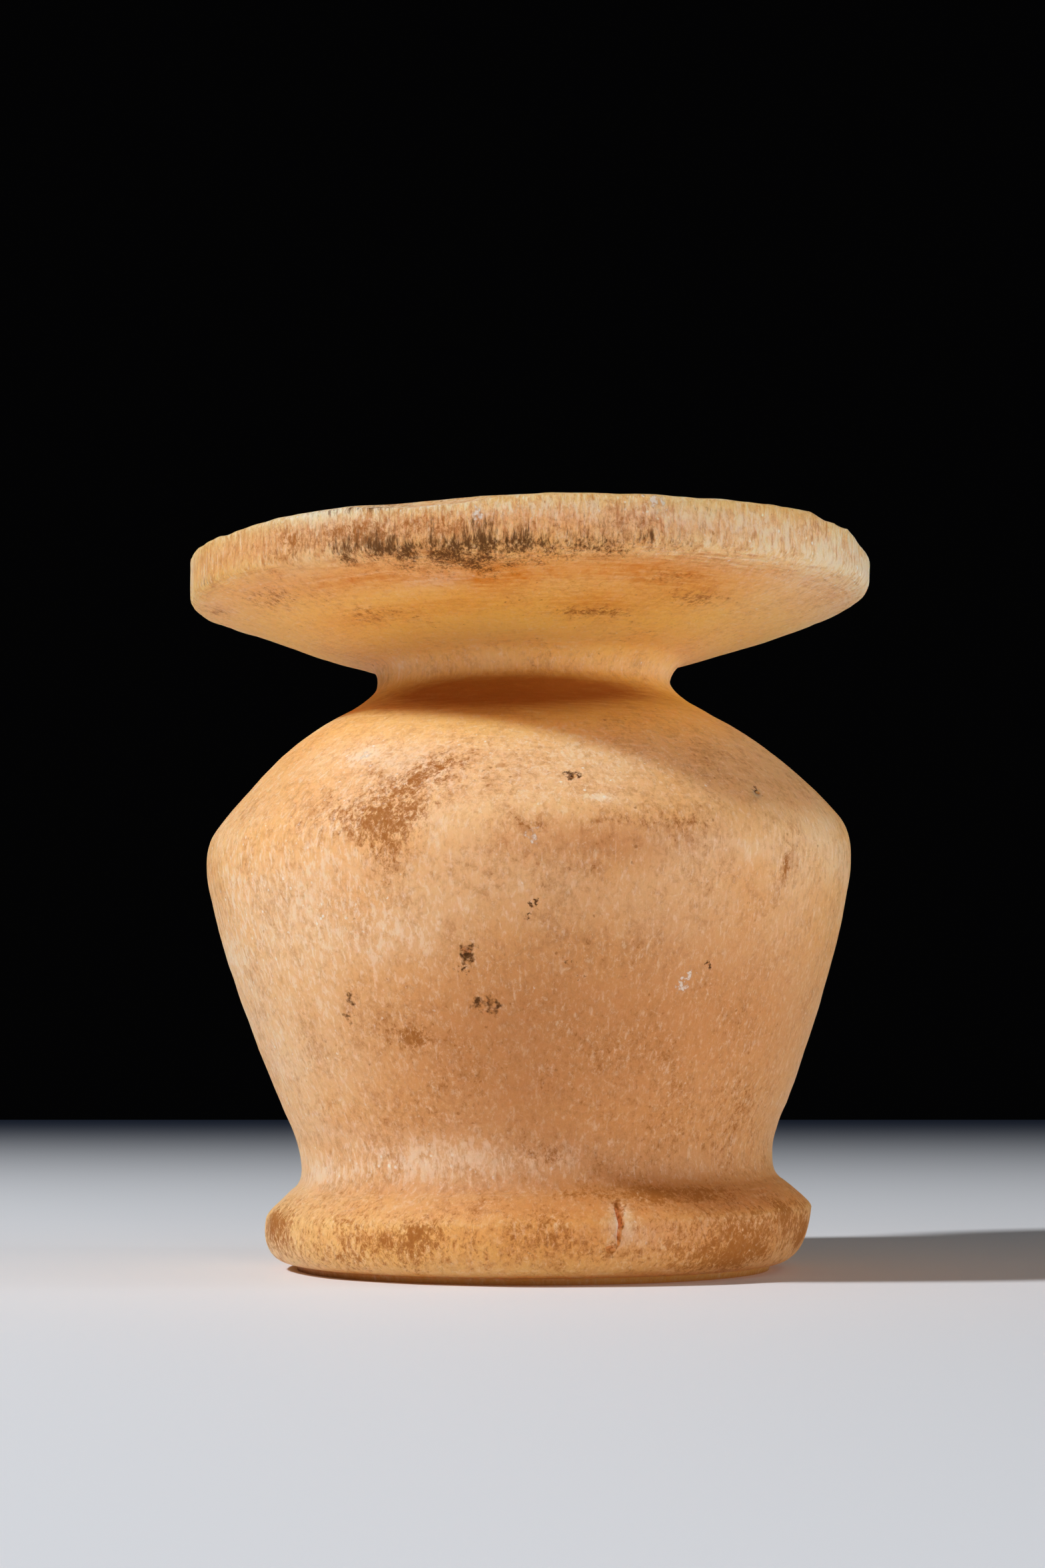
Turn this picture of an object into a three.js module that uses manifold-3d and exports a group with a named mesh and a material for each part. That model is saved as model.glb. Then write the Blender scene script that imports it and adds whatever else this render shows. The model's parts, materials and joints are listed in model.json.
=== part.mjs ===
// Kohl pot: a small cosmetic jar, carved and drilled from one block of veined calcite.
// A broad flat rim stands on a narrow neck, and a high shoulder tapers to a waist above a low disc foot.
// Millimetres, +Z up. It stands on z = 0, with the side that shows best facing -Y.
import * as THREE from 'three';
import { mergeVertices } from 'three/addons/utils/BufferGeometryUtils.js';
import Module from 'manifold-3d';

// Driving dimensions
const HEIGHT = 50.2;
const RIM_RADIUS = 24.1;
const NECK_RADIUS = 10.35;
const WAIST_RADIUS = 16.4;
const FOOT_RADIUS = 18.9;
const FOOT_HEIGHT = 3.9;
const STAND_RADIUS = 16.4;
const BORE_RADIUS = 6.3;
const MOUTH_RADIUS = 7.3;
const FLOOR_HEIGHT = 11;

// Outside of the pot as [radius, height], from the edge of the flat underside up.
// Each stretch curves from the last one's end past its bend to its own end.
const OUTSIDE_START = [STAND_RADIUS, 0];
const OUTSIDE = [
  { bend: [FOOT_RADIUS, 0], end: [FOOT_RADIUS, FOOT_HEIGHT], steps: 5 }, // rounded foot
  { bend: [FOOT_RADIUS, 4.3], end: [17.2, 5.7], steps: 4 }, // top of the foot
  { bend: [WAIST_RADIUS, 6.1], end: [WAIST_RADIUS, 7.25], steps: 3 }, // crease above the foot
  { bend: [WAIST_RADIUS, 8.9], end: [17.55, 11.1], steps: 3 }, // waist
  { bend: [21.15, 20.1], end: [22.5, 26.7], steps: 5 }, // flank
  { bend: [23, 29.5], end: [21.9, 30.9], steps: 5 }, // shoulder
  { bend: [17.7, 36.2], end: [12.3, 38.9], steps: 5 }, // dome above the shoulder
  { bend: [NECK_RADIUS, 40.2], end: [NECK_RADIUS, 40.9], steps: 3 }, // neck
  { bend: [NECK_RADIUS, 41.9], end: [11.2, 42.4], steps: 3 }, // turn out to the rim
  { bend: [17.6, 44.1], end: [21.9, 45.8], steps: 3 }, // underside of the rim
  { bend: [RIM_RADIUS, 46.5], end: [RIM_RADIUS, 47.5], steps: 4 }, // rounded lower edge
  { bend: [RIM_RADIUS, 48.6], end: [RIM_RADIUS, 49.8], steps: 1 }, // upright band
  { bend: [RIM_RADIUS, HEIGHT], end: [23.6, HEIGHT], steps: 2 }, // worn upper edge
];

// The hollow: a round floor, a straight bore and an eased mouth, standing clear above the rim
const ABOVE = HEIGHT + 2;
const HOLLOW_START = [0, FLOOR_HEIGHT];
const HOLLOW = [
  { bend: [BORE_RADIUS, FLOOR_HEIGHT], end: [BORE_RADIUS, 15.5], steps: 5 }, // floor
  { bend: [BORE_RADIUS, 30], end: [BORE_RADIUS, 48.2], steps: 1 }, // bore
  { bend: [BORE_RADIUS, 49.6], end: [MOUTH_RADIUS, HEIGHT], steps: 3 }, // mouth
  { bend: [MOUTH_RADIUS, HEIGHT], end: [MOUTH_RADIUS, ABOVE], steps: 1 }, // clear of the rim
];

// Carved by eye: the axis drifts along X with height, and all above the underside is tipped
const DRIFT_HEIGHTS = [0, 3.9, 8, 18, 27, 33.5, 38, 41, 43, 46, 51];
const DRIFT_OFFSETS = [0.2, 0.65, 0.45, 0.2, -0.05, -0.3, -0.85, -0.45, 0, 0, 0];
const TIP = 0.023;

// Lost flakes and worn places: azimuth from +X in degrees, the scoop's centre and its half-sizes
const CHIPS = [
  { azimuth: -8, radius: 25, height: 51.5, out: 2.6, along: 10.5, up: 2.2 }, // right end of the rim
  { azimuth: -31, radius: 25, height: 52.3, out: 3, along: 7, up: 2.3 }, // right front of the rim
  { azimuth: 187, radius: 24.6, height: 46.9, out: 0.8, along: 1.2, up: 0.5 }, // left end of the rim
  { azimuth: 257, radius: 24.6, height: 51.6, out: 2.5, along: 8.5, up: 1.9 }, // left front of the rim
  { azimuth: 289, radius: 19, height: 3.6, out: 0.6, along: 0.45, up: 1.7 }, // fissure in the foot
];

const POT_SIDES = 72;
const BORE_SIDES = 48;
const SCOOP_DETAIL = 4;
const MERGE_DISTANCE = 1e-4;

const wasm = await Module();
wasm.setup();

/** Points of an outline that starts at `start` and follows curved stretches. */
function outline(start, stretches) {
  const points = [new THREE.Vector2(...start)];
  for (const { bend, end, steps } of stretches) {
    const curve = new THREE.QuadraticBezierCurve(
      points.at(-1),
      new THREE.Vector2(...bend),
      new THREE.Vector2(...end),
    );
    points.push(...curve.getPoints(steps).slice(1));
  }
  return points;
}

/** An outline turned round the Z axis, closed on the axis at both ends. */
function turned(points, sides) {
  const first = new THREE.Vector2(0, points[0].y);
  const last = new THREE.Vector2(0, points.at(-1).y);
  const lathe = new THREE.LatheGeometry([first, ...points, last], sides);
  return lathe.rotateX(Math.PI / 2);
}

/** Shifts and tips a true turned form as the carver's eye did, and leaves the underside flat. */
function carvedAskew(geometry) {
  const drift = new THREE.CubicInterpolant(DRIFT_HEIGHTS, DRIFT_OFFSETS, 1);
  const position = geometry.attributes.position;
  for (let i = 0; i < position.count; i += 1) {
    const x = position.getX(i);
    const z = position.getZ(i);
    const tip = TIP * THREE.MathUtils.smoothstep(z, 0, FOOT_HEIGHT);
    position.setX(i, x + drift.evaluate(z)[0]);
    position.setZ(i, z + tip * x);
  }
  return geometry;
}

/** An egg-shaped scoop that takes one flake off the stone. */
function scoop({ azimuth, radius, height, out, along, up }) {
  const egg = new THREE.IcosahedronGeometry(1, SCOOP_DETAIL);
  egg.scale(out, along, up);
  egg.translate(radius, 0, height);
  return egg.rotateZ(THREE.MathUtils.degToRad(azimuth));
}

/** The closed solid inside a geometry whose shared vertices may still be double. */
function solidOf(geometry) {
  geometry.deleteAttribute('normal');
  geometry.deleteAttribute('uv');
  const merged = mergeVertices(geometry, MERGE_DISTANCE);
  const vertProperties = new Float32Array(merged.attributes.position.array);
  const triVerts = new Uint32Array(merged.index.array);
  return new wasm.Manifold(new wasm.Mesh({ numProp: 3, vertProperties, triVerts }));
}

/** A solid's surface as a three.js geometry. */
function geometryOf(solid) {
  const { vertProperties, triVerts } = solid.getMesh();
  const geometry = new THREE.BufferGeometry();
  geometry.setAttribute('position', new THREE.BufferAttribute(vertProperties, 3));
  geometry.setIndex(new THREE.BufferAttribute(triVerts, 1));
  geometry.computeVertexNormals();
  return geometry;
}

/** The whole pot: the turned form less its hollow and its lost flakes. */
function potGeometry() {
  const form = carvedAskew(turned(outline(OUTSIDE_START, OUTSIDE), POT_SIDES));
  const hollow = turned(outline(HOLLOW_START, HOLLOW), BORE_SIDES);
  let stone = solidOf(form).subtract(solidOf(hollow));
  for (const chip of CHIPS) {
    stone = stone.subtract(solidOf(scoop(chip)));
  }
  return geometryOf(stone);
}

const calcite = new THREE.MeshStandardMaterial({ color: 0xd9ab7a, roughness: 0.45, metalness: 0 });
const pot = new THREE.Mesh(potGeometry(), calcite);
pot.name = 'kohl_pot';

const kohlPot = new THREE.Group();
kohlPot.add(pot);

export default kohlPot;
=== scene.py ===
"""Kohl pot of veined calcite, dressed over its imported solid, on a pale floor in soft studio light."""

import json
import logging
import math
from dataclasses import dataclass
from enum import Enum
from functools import reduce

import bpy
import numpy as np
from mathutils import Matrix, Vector

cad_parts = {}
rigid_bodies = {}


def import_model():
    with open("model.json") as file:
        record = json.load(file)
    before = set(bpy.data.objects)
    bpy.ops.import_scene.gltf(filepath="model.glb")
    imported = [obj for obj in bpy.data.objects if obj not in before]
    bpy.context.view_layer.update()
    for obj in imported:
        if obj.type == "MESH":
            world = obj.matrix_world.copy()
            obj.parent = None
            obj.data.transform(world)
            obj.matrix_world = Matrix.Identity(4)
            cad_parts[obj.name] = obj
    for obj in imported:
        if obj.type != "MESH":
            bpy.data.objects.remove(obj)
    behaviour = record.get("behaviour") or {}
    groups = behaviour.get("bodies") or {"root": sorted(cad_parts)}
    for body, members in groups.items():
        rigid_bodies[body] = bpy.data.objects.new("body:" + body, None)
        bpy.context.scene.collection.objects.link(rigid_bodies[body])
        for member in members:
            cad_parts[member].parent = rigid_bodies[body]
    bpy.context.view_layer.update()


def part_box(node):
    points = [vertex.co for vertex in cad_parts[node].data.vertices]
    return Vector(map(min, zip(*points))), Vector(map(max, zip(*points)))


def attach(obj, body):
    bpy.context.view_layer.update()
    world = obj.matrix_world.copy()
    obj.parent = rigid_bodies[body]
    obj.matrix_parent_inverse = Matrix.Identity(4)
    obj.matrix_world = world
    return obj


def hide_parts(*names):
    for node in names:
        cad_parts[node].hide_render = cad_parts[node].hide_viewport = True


LOG = logging.getLogger("kohl_pot")
MM = 0.001
NODE = "kohl_pot"
BODY = "root"
FLAT_DEPTH = 2.0
BREAK_SIZE = 1.2
BREAK_OCTAVES = 2

Point = tuple[float, float]
Place = tuple[float, float, float]
Colour = tuple[float, float, float, float]


class Wire:
    """One output socket of a node tree, with arithmetic that adds Math nodes."""

    def __init__(self, graph: "Graph", socket: bpy.types.NodeSocket | None) -> None:
        """Keeps the socket and the graph that it belongs to."""
        self.graph = graph
        self.socket = socket

    def math(self, operation: str, first: "Wire | float", second: "Wire | float" = 0.0) -> "Wire":
        """A Math node over one or two values."""
        return self.graph.node("ShaderNodeMath", {"operation": operation}, {0: first, 1: second})

    def __add__(self, other: "Wire | float") -> "Wire":
        """This value plus another."""
        return self.math("ADD", self, other)

    def __radd__(self, other: float) -> "Wire":
        """A number plus this value."""
        return self.math("ADD", other, self)

    def __sub__(self, other: "Wire | float") -> "Wire":
        """This value less another."""
        return self.math("SUBTRACT", self, other)

    def __rsub__(self, other: float) -> "Wire":
        """A number less this value."""
        return self.math("SUBTRACT", other, self)

    def __mul__(self, other: "Wire | float") -> "Wire":
        """This value times another."""
        return self.math("MULTIPLY", self, other)

    def __abs__(self) -> "Wire":
        """The size of this value."""
        return self.math("ABSOLUTE", self)

    def root(self) -> "Wire":
        """The square root of this value."""
        return self.math("SQRT", self)

    def most(self, other: "Wire | float") -> "Wire":
        """The greater of this value and another."""
        return self.math("MAXIMUM", self, other)

    def rise(self, low: "Wire | float", high: "Wire | float") -> "Wire":
        """A smooth step from 0 where this value is low to 1 where it is high.

        Args:
            low: Value at which the step starts.
            high: Value at which the step ends.

        Returns:
            The step, from 0 to 1.
        """
        settings = {"interpolation_type": "SMOOTHSTEP"}
        sockets = {"Value": self, "From Min": low, "From Max": high}
        return self.graph.node("ShaderNodeMapRange", settings, sockets)


class Graph:
    """The emptied node tree of one material or world."""

    def __init__(self, tree: bpy.types.NodeTree) -> None:
        """Clears the tree, so that only its own nodes are in it."""
        tree.nodes.clear()
        self.tree = tree

    def node(self, kind: str, settings: dict, sockets: dict, output: int | str = 0) -> Wire:
        """Adds one node.

        Args:
            kind: The node's type.
            settings: Properties to set before the sockets.
            sockets: Values or wires by socket name or index.
            output: The output that the wire carries.

        Returns:
            The wire from that output, or an empty wire for an end node.
        """
        made = self.tree.nodes.new(kind)
        for name, value in settings.items():
            setattr(made, name, value)
        for key, value in sockets.items():
            if isinstance(value, Wire):
                self.tree.links.new(value.socket, made.inputs[key])
            else:
                made.inputs[key].default_value = value
        return Wire(self, made.outputs[output] if made.outputs else None)

    def stretched(self, vector: Wire, factors: Place) -> Wire:
        """A vector with each of its parts multiplied."""
        return self.node("ShaderNodeVectorMath", {"operation": "MULTIPLY"}, {0: vector, 1: factors})

    def moved(self, vector: Wire, offset: "Wire | Place") -> Wire:
        """A vector with an offset added."""
        return self.node("ShaderNodeVectorMath", {"operation": "ADD"}, {0: vector, 1: offset})

    def laid(self, vector: Wire, factors: Place, offset: Place) -> Wire:
        """A vector stretched, then moved."""
        return self.moved(self.stretched(vector, factors), offset)

    def noise(
        self,
        vector: Wire,
        scale: float,
        detail: float,
        rough: float = 0.5,
        swirl: float = 0.0,
    ) -> Wire:
        """Noise over a vector, about 0.5 in the middle.

        Args:
            vector: Where the noise is read.
            scale: Features for each unit of the vector.
            detail: Octaves of finer noise.
            rough: Weight of the finer octaves.
            swirl: How far the noise is pulled out of shape.

        Returns:
            The noise value.
        """
        sockets = {
            "Vector": vector,
            "Scale": scale,
            "Detail": detail,
            "Roughness": rough,
            "Distortion": swirl,
        }
        return self.node("ShaderNodeTexNoise", {}, sockets)

    def attribute(self, name: str) -> Wire:
        """A value stored on the mesh."""
        return self.node("ShaderNodeAttribute", {"attribute_name": name}, {}, "Fac")

    def blend(self, factor: "Wire | float", first: "Wire | Colour", second: "Wire | Colour") -> Wire:
        """Two colours mixed.

        Args:
            factor: 0 for the first colour, 1 for the second.
            first: The colour underneath.
            second: The colour laid over it.

        Returns:
            The mixed colour.
        """
        settings = {"data_type": "RGBA", "clamp_factor": True}
        return self.node("ShaderNodeMix", settings, {0: factor, 6: first, 7: second}, 2)

    def layered(self, base: "Wire | Colour", layers: "list[tuple[Wire, Wire | Colour]]") -> "Wire | Colour":
        """Colours laid over one another.

        Args:
            base: The colour underneath.
            layers: How far each further colour covers, and that colour, in order.

        Returns:
            The colour that shows.
        """
        shown = base
        for cover, colour in layers:
            shown = self.blend(cover, shown, colour)
        return shown


def around_axis(azimuth: float, radius: float, height: float) -> Place:
    """A place in millimetres, from an azimuth in degrees, a distance from the axis and a height."""
    turn = math.radians(azimuth)
    return (radius * math.cos(turn), radius * math.sin(turn), height)


class Trace(Enum):
    """What a mark on the stone is, a real one or painted light and shade, and the name of its mesh
    attribute.
    """

    GRIME = "grime"
    STAIN = "stain"
    # Rust-coloured stains, and a painted glow in an orange band along the base.
    RUST_AND_GLOW = "rust_and_glow"
    # Bleached pale places, with painted light on the left and a painted sheen on the rim's right.
    PALE_AND_LIT = "pale_and_lit"
    # An amber tone, and painted glow under the rim and round the neck, where light would pass through the
    # stone.
    AMBER_AND_GLOW = "amber_and_glow"
    # Painted shade at the neck's root, in the foot's crease and along the base, partly a soaked-in stain.
    SOAK_AND_SHADE = "soak_and_shade"
    # Painted shade on the right and lower side, partly a brown patina.
    SHADE_AND_PATINA = "shade_and_patina"


@dataclass(frozen=True)
class Mark:
    """A soft patch on the stone: azimuth from +X in degrees, height and half-sizes in millimetres.

    A patch on a flat face also has a radius, and its half-size up then counts along the radius.
    """

    trace: Trace
    azimuth: float
    height: float
    along: float
    up: float
    strength: float = 1.0
    radius: float = 0.0

    def weight(self, azimuth: np.ndarray, radius: np.ndarray, height: np.ndarray) -> np.ndarray:
        """How strongly the mark falls on each point.

        Args:
            azimuth: The points' azimuths in radians.
            radius: Their distances from the axis in millimetres.
            height: Their heights in millimetres.

        Returns:
            A weight for each point, up to the mark's strength.
        """
        turn = azimuth - math.radians(self.azimuth)
        aside = ((turn + math.pi) % math.tau - math.pi) * radius / self.along
        rise = (height - self.height) / (FLAT_DEPTH if self.radius else self.up)
        out = (radius - self.radius) / self.up if self.radius else 0.0
        return self.strength * np.exp(-(aside**2 + rise**2 + out**2))


@dataclass(frozen=True)
class Dot:
    """A small crisp spot, with its azimuth in degrees and its sizes in millimetres."""

    azimuth: float
    radius: float
    height: float
    size: float

    def middle(self) -> Place:
        """The spot's middle in millimetres."""
        return around_axis(self.azimuth, self.radius, self.height)


@dataclass(frozen=True)
class Relief:
    """Unevenness of a surface, in millimetres: the size of its features and its full reach."""

    size: float
    octaves: int
    reach: float
    middle: float = 0.5
    where: str = ""

    def press(self, piece: bpy.types.Object) -> None:
        """Moves a piece's points along their normals by a cloud pattern.

        Args:
            piece: The piece, with the vertex group that limits the relief, if it names one.
        """
        clouds = bpy.data.textures.new("unevenness", "CLOUDS")
        clouds.noise_scale = self.size * MM
        clouds.noise_depth = self.octaves
        bpy.context.view_layer.objects.active = piece
        bpy.ops.object.modifier_add(type="DISPLACE")
        pressed = piece.modifiers[-1]
        pressed.texture = clouds
        pressed.texture_coords = "LOCAL"
        pressed.strength = self.reach * MM
        pressed.mid_level = self.middle
        pressed.vertex_group = self.where
        bpy.ops.object.modifier_apply(modifier=pressed.name)


@dataclass(frozen=True)
class Scoop:
    """A lost flake or pit: an egg cut out of the stone, in millimetres, at an azimuth in degrees."""

    azimuth: float
    radius: float
    height: float
    out: float
    along: float
    up: float
    rough: float = 0.1
    detail: int = 4

    def cutter(self, name: str) -> bpy.types.Object:
        """Makes the roughened egg.

        Args:
            name: The object's name.

        Returns:
            The egg, in its place.
        """
        bpy.ops.object.select_all(action="DESELECT")
        bpy.ops.mesh.primitive_ico_sphere_add(
            subdivisions=self.detail,
            radius=1,
            location=Vector(around_axis(self.azimuth, self.radius, self.height)) * MM,
            rotation=(0, 0, math.radians(self.azimuth)),
        )
        egg = bpy.context.active_object
        egg.name = name
        egg.scale = (self.out * MM, self.along * MM, self.up * MM)
        bpy.ops.object.transform_apply(location=True, rotation=True, scale=True)
        Relief(BREAK_SIZE, BREAK_OCTAVES, self.rough).press(egg)
        return egg


@dataclass(frozen=True)
class Stretch:
    """One curved stretch of an outline, in millimetres: from the last end past its bend to its own end."""

    bend: Point
    end: Point
    spacing: float

    def points(self, start: Point) -> list[Point]:
        """The stretch's points after its start.

        Args:
            start: Where the last stretch ended.

        Returns:
            Points a spacing apart, the end among them.
        """
        length = math.dist(start, self.bend) + math.dist(self.bend, self.end)
        steps = max(1, round(length / self.spacing))
        made = []
        for step in range(1, steps + 1):
            t = step / steps
            near, middle, far = (1 - t) ** 2, 2 * t * (1 - t), t**2
            made.append(
                (
                    near * start[0] + middle * self.bend[0] + far * self.end[0],
                    near * start[1] + middle * self.bend[1] + far * self.end[1],
                )
            )
        return made


@dataclass(frozen=True)
class Lie:
    """Where a point of the stone lies, in millimetres, and how flat its face is."""

    spot: Wire
    radius: Wire
    up: Wire
    flat: Wire
    rim: Wire


@dataclass(frozen=True)
class Grain:
    """The stone's own patterns, each about 0.5 in the middle."""

    weave: Wire
    cluster: Wire
    mottle: Wire
    fleck: Wire
    dash: Wire
    glint: Wire
    crystal: Wire
    pinprick: Wire


@dataclass(frozen=True)
class Crust:
    """Dirt that lies on the stone, and painted shade laid on like it: how far it covers each point, and its
    colour.
    """

    cover: Wire
    colour: Wire | Colour


@dataclass(frozen=True)
class Calcite:
    """Old veined calcite: translucent, worn satin, fibrous, with stains and grime, and with painted light,
    shade, glow and glints.

    The depth that light reaches is in metres, and all other lengths are in millimetres.
    """

    peach: Colour = (0.93, 0.575, 0.28, 1)
    honey: Colour = (0.90, 0.47, 0.163, 1)
    # Painted shade with patina: a deeper tan for the right and lower side.
    shade_and_patina: Colour = (0.66, 0.28, 0.085, 1)
    # Painted glow: amber under the rim and round the neck.
    amber_and_glow: Colour = (1.0, 0.55, 0.085, 1)
    orange: Colour = (0.74, 0.25, 0.015, 1)
    # Painted shade: deep amber-brown at the neck's root, in the foot's crease and along the base.
    soak_shade: Colour = (0.34, 0.075, 0.001, 1)
    tan: Colour = (0.52, 0.21, 0.055, 1)
    brown: Colour = (0.36, 0.115, 0.018, 1)
    dirt: Colour = (0.095, 0.036, 0.010, 1)
    cream: Colour = (0.97, 0.74, 0.53, 1)
    chalk: Colour = (0.96, 0.88, 0.78, 1)
    translucence: float = 0.8
    depth: float = 0.0065
    reach: Place = (1.0, 0.6, 0.32)
    refraction: float = 1.5
    sheen: float = 0.28
    satin: float = 0.38
    bump_depth: float = 0.16
    bump_strength: float = 0.85
    dirt_sheen: float = 0.05
    dirt_rough: float = 0.75
    axis_gap: float = 0.5
    flat_from: Point = (0.45, 0.75)
    rim_beyond: Point = (21.5, 23.2)
    rim_above: Point = (45.6, 46.8)
    dot_core: float = 0.35
    pits: tuple[Dot, ...] = (
        Dot(258.9, 21.2, 21.1, 0.75),
        Dot(258.0, 21.0, 20.1, 0.45),
        Dot(260.2, 20.5, 17.9, 0.85),
        Dot(263.0, 20.5, 17.7, 0.8),
        Dot(235.0, 20.6, 18.3, 0.75),
        Dot(233.4, 20.3, 16.9, 0.7),
        Dot(277.6, 20.4, 32.5, 0.55),
        Dot(314.4, 21.0, 31.8, 0.45),
        Dot(303.0, 21.0, 20.5, 0.4),
        Dot(276.3, 21.1, 20.7, 0.3),
        Dot(279.2, 20.9, 19.8, 0.3),
        Dot(270.4, 21.9, 24.3, 0.4),
        Dot(269.3, 21.8, 23.5, 0.3),
        Dot(244.5, 14.6, 43.5, 0.3),
    )
    cracks: tuple[Dot, ...] = (
        Dot(287.9, 18.2, 5.4, 0.75),
        Dot(287.7, 18.4, 4.7, 0.55),
        Dot(287.4, 18.6, 4.1, 0.35),
        Dot(286.3, 18.9, 2.7, 0.4),
        Dot(285.6, 18.8, 2.3, 0.4),
        Dot(285.0, 18.7, 2.0, 0.3),
    )
    chalks: tuple[Dot, ...] = (
        Dot(270.1, 22.4, 28.4, 0.6),
        Dot(289.3, 23.9, 49.8, 0.6),
        Dot(262.0, 24.1, 48.9, 0.5),
        Dot(298.1, 20.6, 19.1, 0.6),
        Dot(299.3, 20.6, 19.9, 0.45),
        Dot(234.4, 18.9, 34.5, 0.5),
    )

    def material(self) -> bpy.types.Material:
        """Makes the stone's material.

        Returns:
            A material that reads the pot's place and its mark attributes.
        """
        stone = bpy.data.materials.new("worn_calcite")
        stone.use_nodes = True
        graph = Graph(stone.node_tree)
        lie = self.lie(graph)
        grain = self.grain(graph, lie)
        grime = graph.attribute(Trace.GRIME.value)
        colour = self.stained(graph, grain, self.ground(graph, lie, grain))
        rough = self.satin + grain.weave * 0.16 - grain.glint.rise(0.6, 0.7) * 0.15
        fibres = grain.weave * (0.25 + lie.rim * 2.2)
        height = fibres + grain.dash * 0.35 + grain.mottle * 0.6 - grime * 0.2
        bump = graph.node(
            "ShaderNodeBump",
            {},
            {"Strength": self.bump_strength, "Distance": self.bump_depth * MM, "Height": height},
        )
        stone_shader = graph.node(
            "ShaderNodeBsdfPrincipled",
            {"subsurface_method": "RANDOM_WALK"},
            {
                "Base Color": colour,
                "Roughness": rough,
                "Normal": bump,
                "Subsurface Weight": self.translucence,
                "Subsurface Radius": self.reach,
                "Subsurface Scale": self.depth,
                "IOR": self.refraction,
                "Specular IOR Level": self.sheen,
            },
        )
        crust = self.crust(graph, lie, grain)
        crust_shader = graph.node(
            "ShaderNodeBsdfPrincipled",
            {},
            {
                "Base Color": crust.colour,
                "Roughness": self.dirt_rough,
                "Normal": bump,
                "Specular IOR Level": self.dirt_sheen,
            },
        )
        shader = graph.node("ShaderNodeMixShader", {}, {0: crust.cover, 1: stone_shader, 2: crust_shader})
        graph.node("ShaderNodeOutputMaterial", {}, {"Surface": shader})
        return stone

    def lie(self, graph: Graph) -> Lie:
        """Reads the pot's own coordinates.

        Args:
            graph: The material's graph.

        Returns:
            Where each point of the stone lies.
        """
        place = graph.node("ShaderNodeTexCoord", {}, {}, "Object")
        spot = graph.stretched(place, (1 / MM, 1 / MM, 1 / MM))
        east = graph.node("ShaderNodeSeparateXYZ", {}, {0: spot}, "X")
        north = graph.node("ShaderNodeSeparateXYZ", {}, {0: spot}, "Y")
        up = graph.node("ShaderNodeSeparateXYZ", {}, {0: spot}, "Z")
        radius = (east * east + north * north).root().most(self.axis_gap)
        normal = graph.node("ShaderNodeTexCoord", {}, {}, "Normal")
        facing = graph.node("ShaderNodeSeparateXYZ", {}, {0: normal}, "Z")
        flat = abs(facing).rise(*self.flat_from)
        rim = radius.rise(*self.rim_beyond) * up.rise(*self.rim_above)
        return Lie(spot, radius, up, flat, rim)

    def grain(self, graph: Graph, lie: Lie) -> Grain:
        """The patterns in the stone: upright fibres on steep faces, turning marks on flat ones, and flecks.

        Args:
            graph: The material's graph.
            lie: Where each point lies.

        Returns:
            The patterns.
        """
        spot = lie.spot
        level = graph.stretched(spot, (1, 1, 0))
        outward = graph.node("ShaderNodeVectorMath", {"operation": "NORMALIZE"}, {0: level})
        arcs = graph.node("ShaderNodeVectorMath", {"operation": "SCALE"}, {0: outward, "Scale": 9.0})
        layers = graph.node("ShaderNodeCombineXYZ", {}, {2: lie.radius * 3.4})
        turned = graph.moved(arcs, layers)
        rings = graph.node(
            "ShaderNodeTexNoise",
            {"noise_dimensions": "4D"},
            {"Vector": turned, "W": lie.up * 3.4, "Scale": 1.0, "Detail": 4.0, "Roughness": 0.65},
        )
        fibres = graph.noise(graph.stretched(spot, (1, 1, 0.18)), 3.4, 4.0, 0.65)
        shifted = graph.moved(spot, (7.0, 3.0, 1.0))
        crystals = graph.node("ShaderNodeTexVoronoi", {}, {"Vector": shifted, "Scale": 1.5}, "Distance")
        holes = graph.node("ShaderNodeTexVoronoi", {}, {"Vector": spot, "Scale": 0.9}, "Distance")
        return Grain(
            weave=fibres * (1 - lie.flat) + rings * lie.flat,
            cluster=graph.noise(spot, 0.25, 4.0, 0.6),
            mottle=graph.noise(graph.laid(spot, (1, 1, 0.8), (3.0, 70.0, 8.0)), 1.7, 5.0, 0.72, 0.5),
            fleck=graph.noise(graph.laid(spot, (1, 1, 0.4), (51.0, 9.0, 2.0)), 2.6, 5.0, 0.72, 0.4),
            dash=graph.noise(graph.stretched(spot, (1, 1, 0.75)), 3.4, 5.0, 0.78, 0.6),
            glint=graph.noise(graph.laid(spot, (1, 1, 0.7), (37.0, 11.0, 5.0)), 3.4, 2.0, 0.6),
            crystal=crystals.rise(0.22, 0.1),
            pinprick=holes.rise(0.15, 0.07),
        )

    def ground(self, graph: Graph, lie: Lie, grain: Grain) -> Wire | Colour:
        """The clean stone's colour, with painted glow, light, shade and glints laid into it.

        Args:
            graph: The material's graph.
            lie: Where each point lies.
            grain: The stone's patterns.

        Returns:
            The colour.
        """
        amber_and_glow = graph.attribute(Trace.AMBER_AND_GLOW.value)
        pale_and_lit = graph.attribute(Trace.PALE_AND_LIT.value)
        shade_and_patina = graph.attribute(Trace.SHADE_AND_PATINA.value)
        cloud = graph.noise(lie.spot, 0.085, 3.0)
        vein = graph.noise(graph.stretched(lie.spot, (0.3, 0.3, 1)), 0.2, 4.0, 0.6)
        bare = 1 - amber_and_glow * 0.7
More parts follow.
